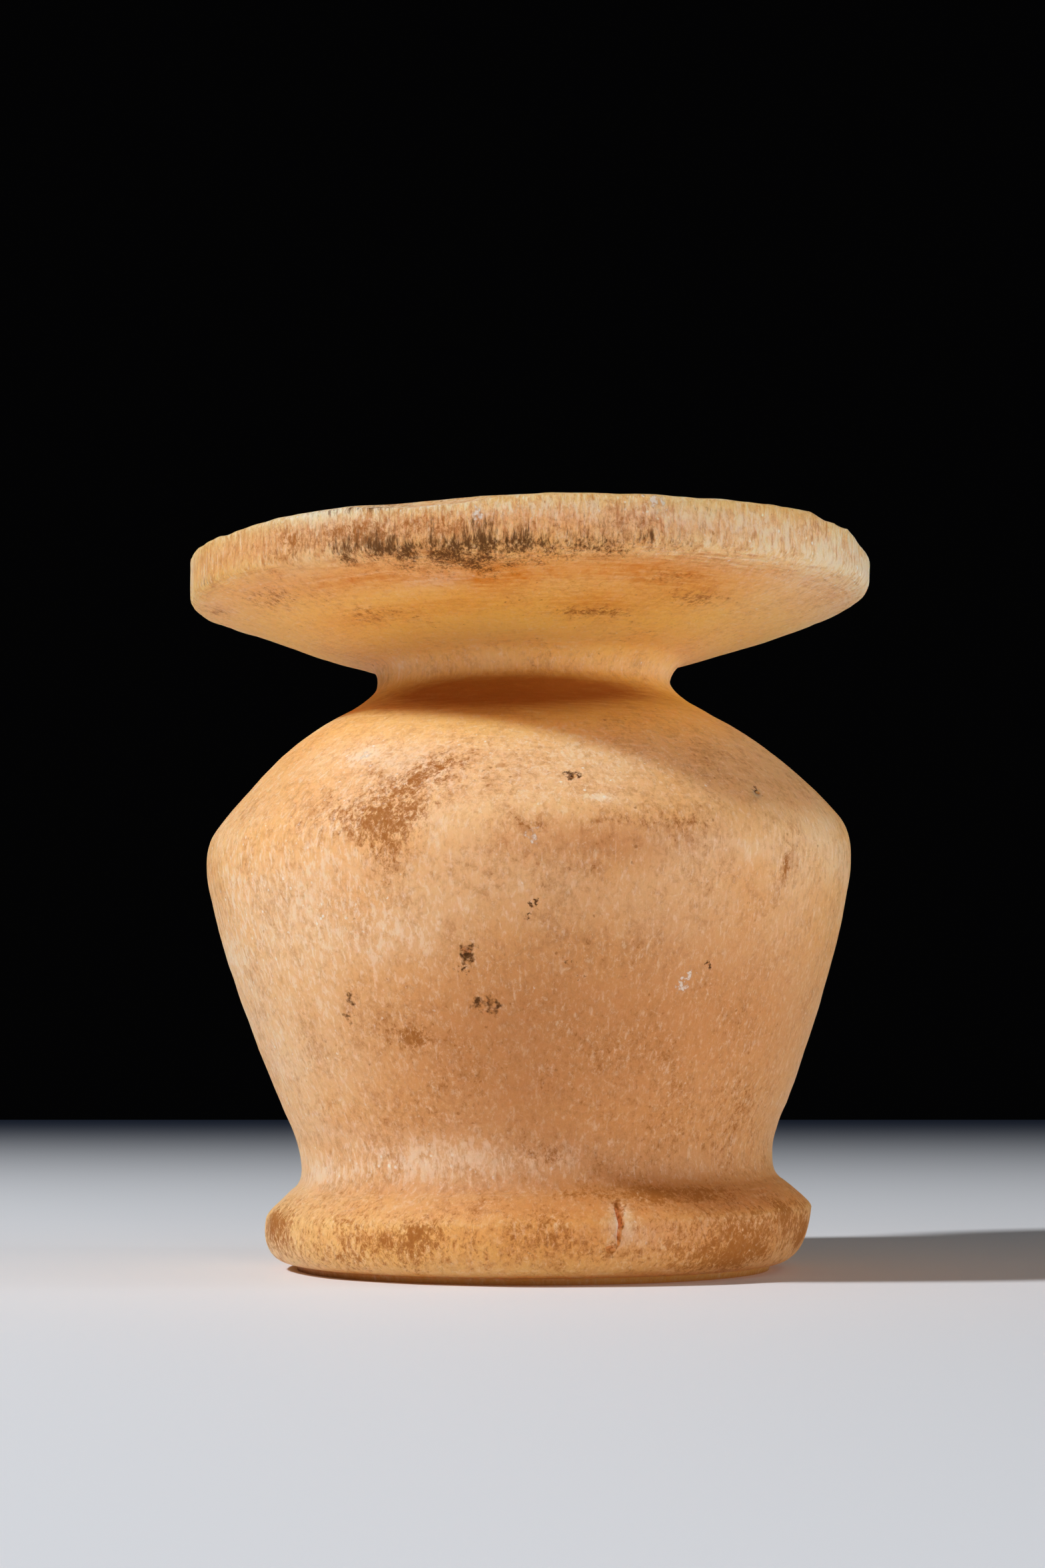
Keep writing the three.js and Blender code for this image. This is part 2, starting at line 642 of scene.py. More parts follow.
        # Fewer pale strokes and glints where the painted shade lies.
        plain = 1 - shade_and_patina * 0.5
        worn = grain.cluster.rise(0.38, 0.62) * bare
        blotches = (grain.mottle + grain.cluster * 0.5).rise(0.68, 0.98) * bare
        dark_fibres = grain.weave.rise(0.5, 0.7) * (0.08 + worn * 0.25 + lie.rim * 0.55)
        light_fibres = grain.weave.rise(0.46, 0.3) * (0.12 + worn * 0.25 + pale_and_lit * 0.2 + lie.rim * 0.2)
        dark_dashes = grain.dash.rise(0.53, 0.68) * (0.2 + worn * 0.3)
        light_dashes = grain.dash.rise(0.47, 0.33) * (0.15 + worn * 0.25)
        # Pale strokes, more of them under the painted light and fewer under the painted shade.
        strokes = (grain.fleck - grain.cluster * 0.35 + pale_and_lit * 0.2).rise(0.38, 0.52) * bare * plain
        # Chalk-white flecks: partly white crystals, partly painted glints, most where the painted light
        # lies.
        crystals_and_glints = grain.crystal * (grain.glint + grain.cluster * 0.4 + pale_and_lit * 0.4).rise(0.82, 0.98) * plain
        return graph.layered(
            graph.blend(cloud.rise(0.36, 0.64), self.peach, self.honey),
            [
                (vein.rise(0.5, 0.72) * 0.35, self.cream),
                # Painted shade on the right and lower side, partly a brown patina.
                (shade_and_patina, self.shade_and_patina),
                # Painted glow under the rim and round the neck, in amber.
                (amber_and_glow, self.amber_and_glow),
                # Painted light where the broad pale marks lie, and real pale places.
                (pale_and_lit * 0.35, self.cream),
                (blotches * 0.6, self.tan),
                (dark_fibres, self.tan),
                (light_fibres, self.cream),
                (dark_dashes, self.tan),
                (light_dashes, self.cream),
                (strokes * (0.5 + pale_and_lit * 0.4), self.cream),
                # Painted glints and white crystals in chalk.
                (crystals_and_glints * 0.85, self.chalk),
            ],
        )

    def stained(self, graph: Graph, grain: Grain, clean: Wire | Colour) -> Wire | Colour:
        """The stone's colour where stains have soaked into it, with painted shade at the neck's root, in the
        foot's crease and along the base, and a painted glow along the base.

        Args:
            graph: The material's graph.
            grain: The stone's patterns.
            clean: The clean stone's colour.

        Returns:
            The colour with its stains, painted shade and painted glow.
        """
        stain = graph.attribute(Trace.STAIN.value)
        rust_and_glow = graph.attribute(Trace.RUST_AND_GLOW.value)
        soak_and_shade = graph.attribute(Trace.SOAK_AND_SHADE.value)
        streaky = grain.weave * 1.6 + grain.mottle * 1.2 - 0.75
        grainy = (grain.mottle + grain.dash * 0.6).rise(0.64, 0.98)
        return graph.layered(
            clean,
            [
                # Painted shade in deep amber-brown, partly a soaked-in stain.
                (soak_and_shade * (0.75 + grain.weave * 0.5), self.soak_shade),
                # Rust-coloured streaks, and a painted glow along the base.
                (rust_and_glow * streaky, self.orange),
                (stain * (0.1 + grainy * 0.8), self.tan),
            ],
        )

    def crust(self, graph: Graph, lie: Lie, grain: Grain) -> Crust:
        """The specks, grime and filled pits on the stone, and painted shade laid on as dark crust at the
        neck's root, in the foot's crease and along the base.

        Args:
            graph: The material's graph.
            lie: Where each point lies.
            grain: The stone's patterns.

        Returns:
            How far the dirt and the painted shade cover the stone, and their colour.
        """
        stain = graph.attribute(Trace.STAIN.value)
        grime = graph.attribute(Trace.GRIME.value)
        pale_and_lit = graph.attribute(Trace.PALE_AND_LIT.value)
        soak_and_shade = graph.attribute(Trace.SOAK_AND_SHADE.value)
        warped = self.shaken(graph, lie)
        patchy = grain.dash + grain.mottle * 0.4 + grain.cluster * 0.45
        specks = (patchy + stain * 0.34 - pale_and_lit * 0.15).rise(1.05, 1.27) * 0.8
        peppered = (grain.glint + grain.cluster * 0.5 + stain * 0.2 - pale_and_lit * 0.15).rise(0.76, 0.9)
        pinpricks = grain.pinprick * peppered * 0.6
        hatch = graph.noise(graph.stretched(lie.spot, (1, 1, 0.2)), 5.0, 5.0, 0.75)
        fringe = graph.noise(graph.stretched(lie.spot, (1, 1, 0.4)), 0.8, 3.0)
        streaks = (hatch + stain * 0.2 - pale_and_lit * 0.05).rise(0.57, 0.74) * lie.rim * 0.6
        soot = (hatch + fringe * 0.6 + grime * 0.36).rise(0.95, 1.22) * grime.rise(0.02, 0.5) * 0.95
        # Painted shade laid on as dark crust at the neck's root, in the foot's crease and along the base,
        # partly a soaked-in stain.
        soak_and_shade_cover = soak_and_shade * (grain.weave * 1.6 - 0.2)
        pits = self.dotted(graph, warped, self.pits) * 0.97
        cracks = self.dotted(graph, warped, self.cracks) * 0.85
        chalks = self.dotted(graph, warped, self.chalks) * 0.8
        colour = graph.layered(self.brown, [((soot * 0.9).most(pits), self.dirt), (chalks, self.chalk)])
        cover = reduce(Wire.most, (specks, streaks, soot, soak_and_shade_cover, pits, pinpricks, cracks, chalks))
        return Crust(cover, colour)

    def shaken(self, graph: Graph, lie: Lie) -> Wire:
        """Places on the stone, shaken by up to a millimetre so that spots have ragged edges.

        Args:
            graph: The material's graph.
            lie: Where each point lies.

        Returns:
            The shaken places.
        """
        sockets = {"Vector": lie.spot, "Scale": 2.6, "Detail": 4.0}
        ragged = graph.node("ShaderNodeTexNoise", {}, sockets, "Color")
        return graph.moved(graph.moved(lie.spot, graph.stretched(ragged, (2, 2, 2))), (-1, -1, -1))

    def dotted(self, graph: Graph, warped: Wire, dots: tuple[Dot, ...]) -> Wire:
        """Where any of several dots covers the stone.

        Args:
            graph: The material's graph.
            warped: The shaken places.
            dots: The dots.

        Returns:
            1 in the dots and 0 outside.
        """
        covers = []
        for dot in dots:
            sockets = {0: warped, 1: dot.middle()}
            away = graph.node("ShaderNodeVectorMath", {"operation": "DISTANCE"}, sockets, "Value")
            covers.append(away.rise(dot.size, dot.size * self.dot_core))
        return reduce(Wire.most, covers)


@dataclass(frozen=True)
class Paper:
    """Plain pale paper for the floor, which darkens far from the pot with painted shade where the lamps'
    light falls off.
    """

    pale_and_lit: Colour = (0.91, 0.94, 1.0, 1)
    # Painted shade: the colour of the paper far behind the pot.
    far: Colour = (0.03, 0.05, 0.10, 1)
    rough: float = 0.7
    near: float = 0.07
    edge: float = 0.52

    def material(self) -> bpy.types.Material:
        """Makes the paper's material.

        Returns:
            A material that reads the floor's own coordinates.
        """
        paper = bpy.data.materials.new("pale_paper")
        paper.use_nodes = True
        graph = Graph(paper.node_tree)
        place = graph.node("ShaderNodeTexCoord", {}, {}, "Object")
        back = graph.node("ShaderNodeSeparateXYZ", {}, {0: place}, "Y")
        # Painted shade: the paper darkens towards the back.
        colour = graph.blend(back.rise(self.near, self.edge), self.pale_and_lit, self.far)
        shader = graph.node("ShaderNodeBsdfPrincipled", {}, {"Base Color": colour, "Roughness": self.rough})
        graph.node("ShaderNodeOutputMaterial", {}, {"Surface": shader})
        return paper


@dataclass
class Pot:
    """The pot, carved and drilled from one block: rim, neck, body and foot. Sizes are in millimetres."""

    height: float = 50.2
    rim_radius: float = 24.1
    neck_radius: float = 10.35
    waist_radius: float = 16.4
    foot_radius: float = 18.9
    foot_height: float = 3.9
    stand_radius: float = 16.4
    bore_radius: float = 6.3
    mouth_radius: float = 7.3
    floor_height: float = 11.0
    bore_margin: float = 1.05
    outer_margin: float = 1.3
    mouth_depth: float = 4.0
    base_inset: float = 0.2
    base_height: float = 0.45
    tip: float = 0.023
    thinned: float = 0.4
    thin_side: Point = (-13.0, -20.0)
    thin_below: Point = (42.0, 43.0)
    thin_above: Point = (47.6, 45.6)
    drift_heights: tuple[float, ...] = (0, 3.9, 8, 18, 27, 33.5, 38, 41, 43, 46, 51)
    drift_offsets: tuple[float, ...] = (0.2, 0.65, 0.45, 0.2, -0.05, -0.3, -0.85, -0.45, 0, 0, 0)
    reliefs: tuple[Relief, ...] = (
        Relief(9.0, 1, 0.28, where="skin"),
        Relief(2.2, 2, 0.10, where="skin"),
        Relief(3.0, 2, 0.22, 0.6, "edge"),
        Relief(4.5, 1, 0.4, where="foot"),
    )
    underside: float = 0.05
    skin_from: Point = (0.0, 2.5)
    edge_width: float = 2.2
    edge_from: Point = (44.5, 46.5)
    foot_from: Point = (0.2, 2.0)
    foot_until: Point = (6.5, 5.0)
    skin: float = 0.42
    inside: float = 1.2
    sides: int = 336
    weld: float = 0.002
    crease: float = 40.0
    around: float = 500.0
    finish: Calcite = Calcite()

    def stretches(self) -> list[Stretch]:
        """The whole outline: from the middle of the underside up the outside and down the bore.

        Returns:
            The stretches in order, which start at the axis and end on it.
        """
        skin, inside = self.skin, self.inside
        stand, base, low = self.stand_radius, self.stand_radius + self.base_inset, self.base_height
        foot, waist, neck, rim = self.foot_radius, self.waist_radius, self.neck_radius, self.rim_radius
        top, bore, mouth = self.height, self.bore_radius, self.mouth_radius
        return [
            Stretch((stand / 2, 0), (stand, 0), inside),
            Stretch((stand, self.base_inset), (base, low), skin / 2),
            Stretch((foot, low), (foot, self.foot_height), skin),
            Stretch((foot, 4.3), (17.2, 5.7), skin),
            Stretch((waist, 6.1), (waist, 7.25), skin),
            Stretch((waist, 8.9), (17.55, 11.1), skin),
            Stretch((21.15, 20.1), (22.5, 26.7), skin),
            Stretch((23, 29.5), (21.9, 30.9), skin),
            Stretch((17.7, 36.2), (12.3, 38.9), skin),
            Stretch((neck, 40.2), (neck, 40.9), skin),
            Stretch((neck, 41.9), (11.2, 42.4), skin),
            Stretch((17.6, 44.1), (21.9, 45.8), skin),
            Stretch((rim, 46.5), (rim, 47.5), skin),
            Stretch((rim, 48.6), (rim, 49.8), skin),
            Stretch((rim, top), (23.6, top), skin / 2),
            Stretch((15, top), (mouth, top), inside / 2),
            Stretch((bore, 49.6), (bore, 48.2), inside / 2),
            Stretch((bore, 30), (bore, 15.5), inside),
            Stretch((bore, self.floor_height), (0, self.floor_height), inside),
        ]

    def scoops(self) -> list[Scoop]:
        """The flakes lost from the rim and foot, and the larger pits in the body.

        Returns:
            The scoops to cut.
        """
        return [
            Scoop(-9, 26, 52.4, 5.2, 17, 3.4, 0.15),
            Scoop(-31, 25, 52.3, 3, 7, 2.3, 0.15),
            Scoop(187, 24.6, 46.9, 0.8, 1.2, 0.5),
            Scoop(252, 24.6, 51.5, 2.5, 13, 2.1, 0.2),
            Scoop(287.9, 18.9, 5.5, 1.1, 0.5, 0.9, 0.25),
            Scoop(287.6, 19.0, 4.5, 0.8, 0.3, 0.9, 0.25),
            Scoop(287.2, 19.0, 3.4, 0.3, 0.16, 0.9, 0.15),
            Scoop(285.7, 18.9, 2.4, 0.25, 0.4, 0.3, 0.15, 3),
            Scoop(258.9, 21.35, 21.1, 0.35, 0.45, 0.5, 0.15, 3),
            Scoop(258.0, 21.2, 20.1, 0.25, 0.25, 0.45, 0.1, 3),
            Scoop(260.2, 20.75, 17.9, 0.3, 0.4, 0.35, 0.1, 3),
            Scoop(263.0, 20.7, 17.7, 0.25, 0.3, 0.3, 0.1, 3),
            Scoop(235.0, 20.8, 18.3, 0.3, 0.4, 0.45, 0.1, 3),
            Scoop(233.4, 20.5, 16.9, 0.25, 0.35, 0.4, 0.1, 3),
            Scoop(277.6, 20.5, 32.5, 0.25, 0.3, 0.25, 0.1, 3),
            Scoop(314.4, 21.1, 31.8, 0.3, 0.35, 0.3, 0.1, 3),
            Scoop(303.0, 21.1, 20.5, 0.2, 0.25, 0.25, 0.1, 3),
        ]

    def marks(self) -> list[Mark]:
        """The stains, grime and pale places that the stone has gathered, with the painted light, shade and
        glow laid on it.

        Returns:
            The marks of every part of the pot.
        """
        above = self.rim_marks() + self.under_rim_marks() + self.shoulder_marks()
        return above + self.body_marks() + self.foot_marks()

    def rim_marks(self) -> list[Mark]:
        """The soot, streaks and bleached places on the rim's upright band, with a painted sheen on its
        right.

        Returns:
            The marks.
        """
        grime, stain, rust_and_glow = Trace.GRIME, Trace.STAIN, Trace.RUST_AND_GLOW
        pale_and_lit, shade_and_patina = Trace.PALE_AND_LIT, Trace.SHADE_AND_PATINA
        return [
            Mark(grime, 230, 47.6, 4.5, 0.9, 0.5),
            Mark(grime, 243, 47.2, 4.0, 1.3, 0.6),
            Mark(grime, 252, 46.9, 4.0, 1.1, 0.5),
            Mark(grime, 261, 46.6, 3.6, 1.4, 0.7),
            Mark(grime, 270, 46.9, 4.0, 1.0, 0.45),
            Mark(grime, 280, 47.0, 4.0, 1.1, 0.45),
            Mark(grime, 291, 47.3, 3.6, 0.9, 0.45),
            Mark(grime, 262, 48.6, 4.0, 0.9, 0.3),
            Mark(grime, 283, 49.0, 4.0, 0.7, 0.3),
            Mark(grime, 204, 46.9, 1.8, 0.6, 0.7),
            Mark(grime, 240, 49.6, 4.0, 0.5, 0.8),
            Mark(grime, 298, 49.5, 1.6, 0.5, 0.5),
            Mark(stain, 252, 47.9, 9.0, 1.3, 0.5),
            Mark(stain, 234, 48.2, 6.0, 1.2, 0.4),
            Mark(stain, 285, 48.2, 7.0, 1.2, 0.4),
            Mark(rust_and_glow, 270, 50.3, self.around, 0.4, 0.35),
            Mark(pale_and_lit, 238, 49.5, 5.0, 0.6, 0.8),
            # Painted sheen on the rim's right, where the right-hand light falls, with a pale scar near its
            # far end.
            Mark(pale_and_lit, 320, 48.2, 12.0, 1.8, 0.6),
            Mark(pale_and_lit, 348, 48.0, 7.0, 2.0, 0.6),
            Mark(pale_and_lit, 272, 49.2, 12.0, 0.8, 0.5),
            Mark(pale_and_lit, 189, 48.3, 1.6, 1.2, 0.6),
            # A darker, browner band on the rim's left.
            Mark(shade_and_patina, 222, 48.2, 16.0, 1.8, 0.4),
        ]

    def under_rim_marks(self) -> list[Mark]:
        """The painted amber glow, rusty streaks and specks on the underside of the rim.

        Returns:
            The marks.
        """
        stain, rust_and_glow, pale_and_lit = Trace.STAIN, Trace.RUST_AND_GLOW, Trace.PALE_AND_LIT
        amber_and_glow = Trace.AMBER_AND_GLOW
        return [
            Mark(stain, 285, 43.9, 3.2, 0.8, 0.6, 16.0),
            Mark(stain, 307, 44.7, 2.6, 0.9, 0.5, 18.6),
            Mark(stain, 296, 45.6, 2.0, 1.0, 0.5, 21.0),
            Mark(stain, 230, 44.2, 2.6, 1.2, 0.45, 17.0),
            Mark(stain, 215, 45.4, 4.0, 1.6, 0.5, 21.0),
            Mark(stain, 190, 46.0, 2.5, 1.0, 0.7, 22.0),
            Mark(stain, 262, 45.8, 4.0, 0.8, 0.5, 22.6),
            Mark(rust_and_glow, 275, 45.8, 13.0, 1.5, 0.8, 21.6),
            Mark(rust_and_glow, 264, 45.2, 2.6, 1.8, 0.8, 20.2),
            Mark(rust_and_glow, 286, 44.2, 3.4, 1.8, 0.9, 17.4),
            Mark(rust_and_glow, 294, 45.6, 3.4, 1.6, 0.7, 21.2),
            Mark(rust_and_glow, 304, 45.0, 3.4, 1.6, 0.6, 19.6),
            Mark(rust_and_glow, 236, 45.6, 5.0, 1.6, 0.7, 21.6),
            Mark(rust_and_glow, 250, 44.4, 5.0, 1.4, 0.5, 17.5),
            Mark(rust_and_glow, 226, 44.2, 4.0, 1.2, 0.5, 17.0),
            Mark(pale_and_lit, 254, 45.2, 3.2, 1.0, 0.8, 21.0),
            # Painted glow all round the underside of the rim, in amber.
            Mark(amber_and_glow, 270, 43.8, self.around, 2.4, 0.8),
        ]

    def shoulder_marks(self) -> list[Mark]:
        """The neck's root, with painted shade that is partly a soaked-in stain and a painted amber glow, and
        the brown patch, seams, pale places and painted shade on the shoulder.

        Returns:
            The marks.
        """
        stain, pale_and_lit, amber_and_glow = Trace.STAIN, Trace.PALE_AND_LIT, Trace.AMBER_AND_GLOW
        soak_and_shade, shade_and_patina = Trace.SOAK_AND_SHADE, Trace.SHADE_AND_PATINA
        return [
            Mark(stain, 245, 31.2, 4.6, 2.2, 0.56),
            Mark(stain, 250, 32.6, 3.0, 1.2, 0.56),
            Mark(stain, 253, 33.6, 2.0, 0.8, 0.56),
            Mark(stain, 240, 29.6, 4.2, 1.6, 0.55),
            Mark(stain, 270.4, 29.2, 1.2, 0.5, 0.45),
            Mark(stain, 286, 29.6, 3.5, 0.5, 0.35),
            Mark(stain, 298, 29.5, 3.0, 0.4, 0.3),
            Mark(pale_and_lit, 276, 33.6, 8.0, 3.0, 0.4),
            Mark(pale_and_lit, 236, 29.5, 3.0, 1.5, 0.3),
            Mark(pale_and_lit, 234.4, 34.5, 1.4, 0.6, 0.9),
            Mark(pale_and_lit, 244, 33.0, 5.0, 2.5, 0.35),
            Mark(pale_and_lit, 282.1, 31.0, 1.2, 0.3, 0.9),
            # Painted glow in amber round the neck, inside the rim's painted shadow.
            Mark(amber_and_glow, 272, 37.4, 14.0, 2.0, 0.7),
            Mark(amber_and_glow, 270, 39.4, self.around, 1.2, 0.8),
            # Painted shadow of the rim at the neck's root, partly a soaked-in stain.
            Mark(soak_and_shade, 258, 39.2, 9.0, 1.1, 1.0),
            Mark(soak_and_shade, 278, 39.4, 9.0, 0.9, 0.6),
            Mark(soak_and_shade, 262, 38.2, 8.0, 1.4, 0.6),
            # Painted shade with patina under the shoulder's edge and on its right.
            Mark(shade_and_patina, 280, 28.2, 6.5, 1.6, 0.6),
            Mark(shade_and_patina, 320, 33.0, 9.0, 3.0, 0.4),
        ]

    def body_marks(self) -> list[Mark]:
        """The painted shade with patina on the right, the painted light on the pale left and the smaller
        stains on the body.

        Returns:
            The marks.
        """
        stain, pale_and_lit, shade_and_patina = Trace.STAIN, Trace.PALE_AND_LIT, Trace.SHADE_AND_PATINA
        return [
            Mark(stain, 285, 10.0, 16.0, 5.0, 0.15),
            Mark(stain, 265, 14.0, 14.0, 5.0, 0.12),
            Mark(stain, 247.5, 27.8, 2.2, 2.0, 0.6),
            Mark(stain, 246.9, 15.9, 1.6, 0.7, 0.7),
            Mark(stain, 318.3, 27.2, 0.35, 1.1, 0.75),
            # Painted light: the left of the body paler, where the key light falls.
            Mark(pale_and_lit, 200, 22.0, 14.0, 12.0, 0.35),
            Mark(pale_and_lit, 230, 25.0, 7.0, 3.5, 0.25),
            Mark(pale_and_lit, 244, 22.5, 5.0, 2.0, 0.25),
            # Painted shade with patina: the right of the body and its middle darker and browner.
            Mark(shade_and_patina, 305, 17.0, 26.0, 9.0, 1.0),
            Mark(shade_and_patina, 262, 15.0, 7.0, 5.0, 0.4),
        ]

    def foot_marks(self) -> list[Mark]:
        """The pale waist, the stained foot with painted shade on its right, the painted glow and shade along
        the base and in the crease, and the fissure's bleached edges.

        Returns:
            The marks.
        """
        stain, rust_and_glow, pale_and_lit = Trace.STAIN, Trace.RUST_AND_GLOW, Trace.PALE_AND_LIT
        amber_and_glow, soak_and_shade, shade_and_patina = Trace.AMBER_AND_GLOW, Trace.SOAK_AND_SHADE, Trace.SHADE_AND_PATINA
        return [
            Mark(stain, 270, 2.8, self.around, 2.2, 0.4),
            Mark(stain, 320, 8.0, 14.0, 5.0, 0.15),
            Mark(stain, 273.5, 8.2, 1.4, 0.7, 0.7),
            # A dark line along the crease above the foot, on the right.
            Mark(stain, 303, 5.8, 5.0, 0.45, 0.9),
            Mark(stain, 279, 5.8, 2.0, 0.3, 0.5),
            Mark(stain, 243, 2.5, 2.6, 1.4, 0.3),
            Mark(stain, 249, 3.4, 1.4, 0.8, 0.35),
            Mark(stain, 318, 3.0, 9.0, 2.2, 0.3),
            Mark(stain, 199.7, 3.4, 3.0, 1.3, 0.7),
            Mark(stain, 222, 1.6, 4.0, 0.9, 0.35),
            Mark(stain, 313.7, 1.7, 3.0, 0.9, 0.7),
            Mark(stain, 331.4, 4.3, 1.2, 0.7, 0.7),
            Mark(stain, 345, 2.7, 1.6, 1.0, 0.7),
            # Painted glow and shade: an orange band along the foot's lowest edge.
            Mark(rust_and_glow, 270, 0.4, self.around, 0.35, 0.9),
            Mark(pale_and_lit, 286.3, 3.8, 0.4, 1.3, 0.8),
            Mark(pale_and_lit, 289.2, 4.0, 0.4, 1.3, 0.8),
            Mark(pale_and_lit, 294.0, 3.2, 2.0, 1.4, 0.3),
            Mark(pale_and_lit, 262, 8.0, 6.0, 1.3, 0.5),
            Mark(pale_and_lit, 238, 7.9, 5.5, 1.3, 0.65),
            Mark(pale_and_lit, 212, 6.8, 4.0, 0.9, 0.5),
            Mark(amber_and_glow, 250, 2.5, 18.0, 2.0, 0.35),
            # Painted shade: a dark line where the foot meets the floor.
            Mark(soak_and_shade, 270, 0.0, self.around, 0.25, 0.9),
            # Painted shade, partly a stain, in the crease above the foot on the right.
            Mark(soak_and_shade, 305, 6.2, 7.0, 0.9, 0.3),
            # Painted shade with patina on the right of the foot.
            Mark(shade_and_patina, 302, 3.5, 22.0, 6.0, 1.0),
        ]

    def outline(self) -> list[Point]:
        """The outline's points.

        Returns:
            A radius and a height for each point.
        """
        points = [(0.0, 0.0)]
        for stretch in self.stretches():
            points.extend(stretch.points(points[-1]))
        return points

    def build(self) -> bpy.types.Object:
        """Turns, carves, wears and dresses the pot.

        Returns:
            The finished pot, riding on its body.
        """
        pot = self.turn()
        self.carve_askew(pot)
        self.roughen(pot)
        self.chip(pot)
        self.keep_within(pot)
        bpy.context.view_layer.objects.active = pot
        pot.select_set(True)
        bpy.ops.object.shade_smooth_by_angle(angle=math.radians(self.crease))
        self.stain(pot)
        pot.data.materials.clear()
        pot.data.materials.append(self.finish.material())
        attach(pot, BODY)
        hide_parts(NODE)
        return pot

    def turn(self) -> bpy.types.Object:
        """Draws the outline point by point and spins it round the axis.

        Returns:
            The turned form.
        """
        points = self.outline()
        bpy.ops.object.select_all(action="DESELECT")
        bpy.ops.mesh.primitive_plane_add(size=MM, location=(0, 0, 0))
        pot = bpy.context.active_object
        pot.name = "stone_pot"
        bpy.ops.object.mode_set(mode="EDIT")
        bpy.ops.mesh.select_all(action="SELECT")
        bpy.ops.mesh.merge(type="CENTER")
        for (radius, height), (next_radius, next_height) in zip(points, points[1:]):
            step = ((next_radius - radius) * MM, 0, (next_height - height) * MM)
            bpy.ops.mesh.extrude_region_move(TRANSFORM_OT_translate={"value": step})
        bpy.ops.mesh.select_all(action="SELECT")
        bpy.ops.mesh.spin(steps=self.sides, angle=math.tau, center=(0, 0, 0), axis=(0, 0, 1))
        bpy.ops.mesh.select_all(action="SELECT")
        bpy.ops.mesh.remove_doubles(threshold=self.weld * MM)
        bpy.ops.mesh.normals_make_consistent(inside=False)
        bpy.ops.object.mode_set(mode="OBJECT")
        return pot

    def carve_askew(self, pot: bpy.types.Object) -> None:
        """Shifts and tips the outside as the carver's eye did, with the underside flat and the bore upright.

        Args:
            pot: The turned form.
        """
        x, y, z = points_of(pot).T
        bore = (np.hypot(x, y) < self.mouth_radius * self.bore_margin) & (z > self.foot_height)
        drift = np.interp(z, self.drift_heights, self.drift_offsets)
        lean = self.tip * step_up(z, 0, self.foot_height) * x
        mouth = step_up(z, self.height - self.mouth_depth, self.height)
        under = step_up(z, *self.thin_below) * step_up(z, *self.thin_above) * step_up(x, *self.thin_side)
        lean = lean + self.thinned * under
        moved = np.column_stack((x + np.where(bore, 0, drift), y, z + np.where(bore, lean * mouth, lean)))
        put_points(pot, moved)

    def roughen(self, pot: bpy.types.Object) -> None:
        """Gives the skin its slow unevenness, the rim's edges their wear and the foot its lumps.

        Args:
            pot: The carved form.
        """
        x, y, z = points_of(pot).T
        radius = np.hypot(x, y)
        outside = (radius > self.mouth_radius * self.outer_margin) & (z > self.underside)
        groups = {
            "skin": np.where(outside, step_up(z, *self.skin_from), 0.0),
            "edge": np.where(radius > self.rim_radius - self.edge_width, step_up(z, *self.edge_from), 0.0),
            "foot": step_up(z, *self.foot_from) * step_up(z, *self.foot_until),
        }
        for name, weights in groups.items():
            self.weigh(pot, name, weights)
        for relief in self.reliefs:
            relief.press(pot)

    def weigh(self, pot: bpy.types.Object, name: str, weights: np.ndarray) -> None:
        """Stores weights in a vertex group, a tenth of a step apart.

        Args:
            pot: The pot.
            name: The group's name.
            weights: A weight for each point, from 0 to 1.
        """
        group = pot.vertex_groups.new(name=name)
        tenths = np.round(weights * 10).astype(int)
        for tenth in range(1, 11):
            group.add(np.flatnonzero(tenths == tenth).tolist(), tenth / 10, "REPLACE")

    def chip(self, pot: bpy.types.Object) -> None:
        """Cuts the lost flakes and pits out of the pot in one go.

        Args:
            pot: The roughened form.
        """
        chips = bpy.data.collections.new("chips")
        bpy.context.scene.collection.children.link(chips)
        for number, scoop in enumerate(self.scoops()):
            egg = scoop.cutter(f"scoop_{number}")
            for holder in list(egg.users_collection):
                holder.objects.unlink(egg)
            chips.objects.link(egg)
        bpy.ops.object.select_all(action="DESELECT")
        bpy.context.view_layer.objects.active = pot
        bpy.ops.object.modifier_add(type="BOOLEAN")
        cut = pot.modifiers[-1]
        cut.operation = "DIFFERENCE"
        cut.operand_type = "COLLECTION"
        cut.collection = chips
        cut.solver = "MANIFOLD"
        bpy.ops.object.modifier_apply(modifier=cut.name)
        for egg in list(chips.objects):
            bpy.data.objects.remove(egg)
        bpy.data.collections.remove(chips)

    def keep_within(self, pot: bpy.types.Object) -> None:
        """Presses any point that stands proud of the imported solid's box back into it.

        Args:
            pot: The chipped form.
        """
        low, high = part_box(NODE)
        put_points(pot, np.clip(points_of(pot), np.array(low) / MM, np.array(high) / MM))

    def stain(self, pot: bpy.types.Object) -> None:
        """Stores each kind of mark, stains and painted light and shade alike, on the mesh's outside, for the
        finish to read.

        Args:
            pot: The finished form.
        """
        x, y, z = points_of(pot).T
        azimuth, radius = np.arctan2(y, x), np.hypot(x, y)
        totals = {trace: np.zeros(len(z)) for trace in Trace}
        for mark in self.marks():
            totals[mark.trace] += mark.weight(azimuth, radius, z)
        outside = radius > self.mouth_radius * self.outer_margin
        for trace, total in totals.items():
            stored = pot.data.attributes.new(trace.value, "FLOAT", "POINT")
            shown = np.where(outside, np.clip(total, 0, 1), 0)
            stored.data.foreach_set("value", shown.astype(np.float32))


def points_of(piece: bpy.types.Object) -> np.ndarray:
    """Reads a piece's points.

    Args:
        piece: The piece.

    Returns:
        Its points in millimetres, one row each.
    """
    flat = np.empty(len(piece.data.vertices) * 3, dtype=np.float32)
    piece.data.vertices.foreach_get("co", flat)
    return flat.reshape(-1, 3).astype(float) / MM


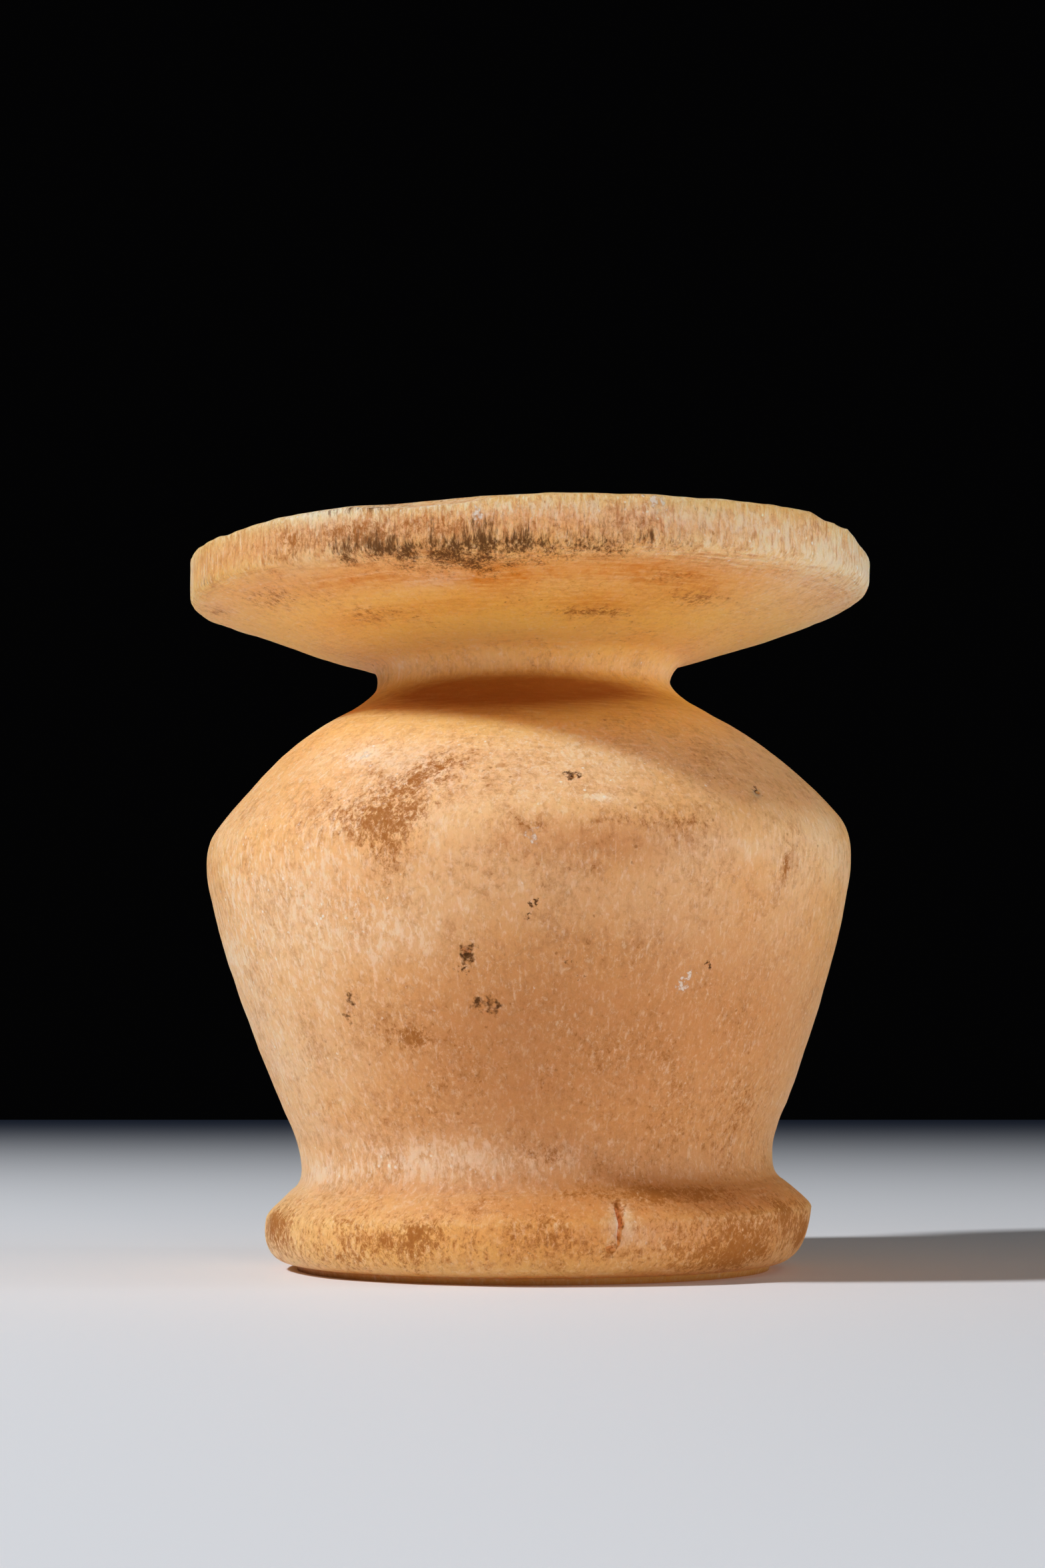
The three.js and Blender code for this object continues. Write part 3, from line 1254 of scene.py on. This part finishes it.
def put_points(piece: bpy.types.Object, points: np.ndarray) -> None:
    """Moves a piece's points.

    Args:
        piece: The piece.
        points: Their new places in millimetres, one row each.
    """
    piece.data.vertices.foreach_set("co", (points * MM).astype(np.float32).ravel())
    piece.data.update()


def step_up(values: np.ndarray, low: float, high: float) -> np.ndarray:
    """A smooth step from 0 at low to 1 at high."""
    t = np.clip((values - low) / (high - low), 0, 1)
    return t * t * (3 - 2 * t)


@dataclass(frozen=True)
class Lamp:
    """A square soft light that looks at the pot. Places and sizes are in metres, power in watts."""

    name: str
    place: Place
    size: float
    power: float
    aim: Place = (0.0, 0.0, 0.025)

    def build(self) -> None:
        """Hangs the light."""
        light = bpy.data.lights.new(self.name, "AREA")
        light.shape = "SQUARE"
        light.size = self.size
        light.energy = self.power
        lamp = bpy.data.objects.new(self.name, light)
        bpy.context.scene.collection.objects.link(lamp)
        lamp.location = self.place
        lamp.rotation_euler = (Vector(self.aim) - Vector(self.place)).to_track_quat("-Z", "Y").to_euler()
        lamp.visible_camera = False


@dataclass
class Studio:
    """The floor, the lights and the camera. Places are in metres."""

    floor_width: float = 1.8
    paper: Paper = Paper()
    eye: Place = (-0.00053, -0.20647, 0.01432)
    look_up: float = 0.0945858
    lens: float = 67.16
    near_clip: float = 0.01
    floor_drop: float = 0.00001
    room: Colour = (0.02, 0.02, 0.022, 1)
    room_glow: float = 0.05

    def lamps(self) -> tuple[Lamp, ...]:
        """The lights: a key on the left, and soft fills on the right, in front, below and above.

        Returns:
            The lights to hang.
        """
        return (
            Lamp("key", (-0.413, -0.167, 0.426), 0.05, 3.0),
            Lamp("right", (0.444, -0.119, 0.411), 0.30, 0.25),
            Lamp("card", (0.399, -0.028, 0.032), 0.06, 0.48),
            Lamp("front", (0.117, -0.434, 0.030), 0.055, 0.38),
            Lamp("low", (0.07, -0.21, 0.008), 0.012, 0.026),
            Lamp("top", (0.03, 0.0, 0.6), 0.25, 0.12),
        )

    def build(self) -> None:
        """Lays the floor, hangs the lights and sets up the camera."""
        self.lay_floor()
        for lamp in self.lamps():
            lamp.build()
        self.darken_room()
        self.set_camera()

    def lay_floor(self) -> None:
        """Lays a sheet of pale paper just under the pot."""
        bpy.ops.object.select_all(action="DESELECT")
        bpy.ops.mesh.primitive_plane_add(size=self.floor_width)
        floor = bpy.context.active_object
        floor.name = "floor"
        bpy.ops.object.mode_set(mode="EDIT")
        bpy.ops.mesh.select_all(action="SELECT")
        bpy.ops.transform.translate(value=(0, self.paper.edge - self.floor_width / 2, -self.floor_drop))
        bpy.ops.object.mode_set(mode="OBJECT")
        floor.data.materials.append(self.paper.material())

    def darken_room(self) -> None:
        """Makes the room nearly black and shows colours plainly."""
        scene = bpy.context.scene
        world = bpy.data.worlds.new("dark_room")
        world.use_nodes = True
        graph = Graph(world.node_tree)
        glow = graph.node("ShaderNodeBackground", {}, {"Color": self.room, "Strength": self.room_glow})
        graph.node("ShaderNodeOutputWorld", {}, {"Surface": glow})
        scene.world = world
        scene.view_settings.view_transform = "Standard"
        scene.cycles.use_denoising = True

    def set_camera(self) -> None:
        """Sets the camera where the photographer stood."""
        camera = bpy.data.objects.new("camera", bpy.data.cameras.new("camera"))
        bpy.context.scene.collection.objects.link(camera)
        camera.data.lens = self.lens
        camera.data.clip_start = self.near_clip
        camera.location = self.eye
        camera.rotation_euler = (math.pi / 2 + self.look_up, 0, 0)
        bpy.context.scene.camera = camera


def main() -> None:
    """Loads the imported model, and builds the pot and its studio."""
    logging.basicConfig(level=logging.INFO, format="%(name)s: %(message)s")
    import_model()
    pot = Pot().build()
    LOG.info("%s: %d points, %d faces", pot.name, len(pot.data.vertices), len(pot.data.polygons))
    Studio().build()
    LOG.info("studio: floor, lights and camera")


if __name__ == "__main__":
    main()
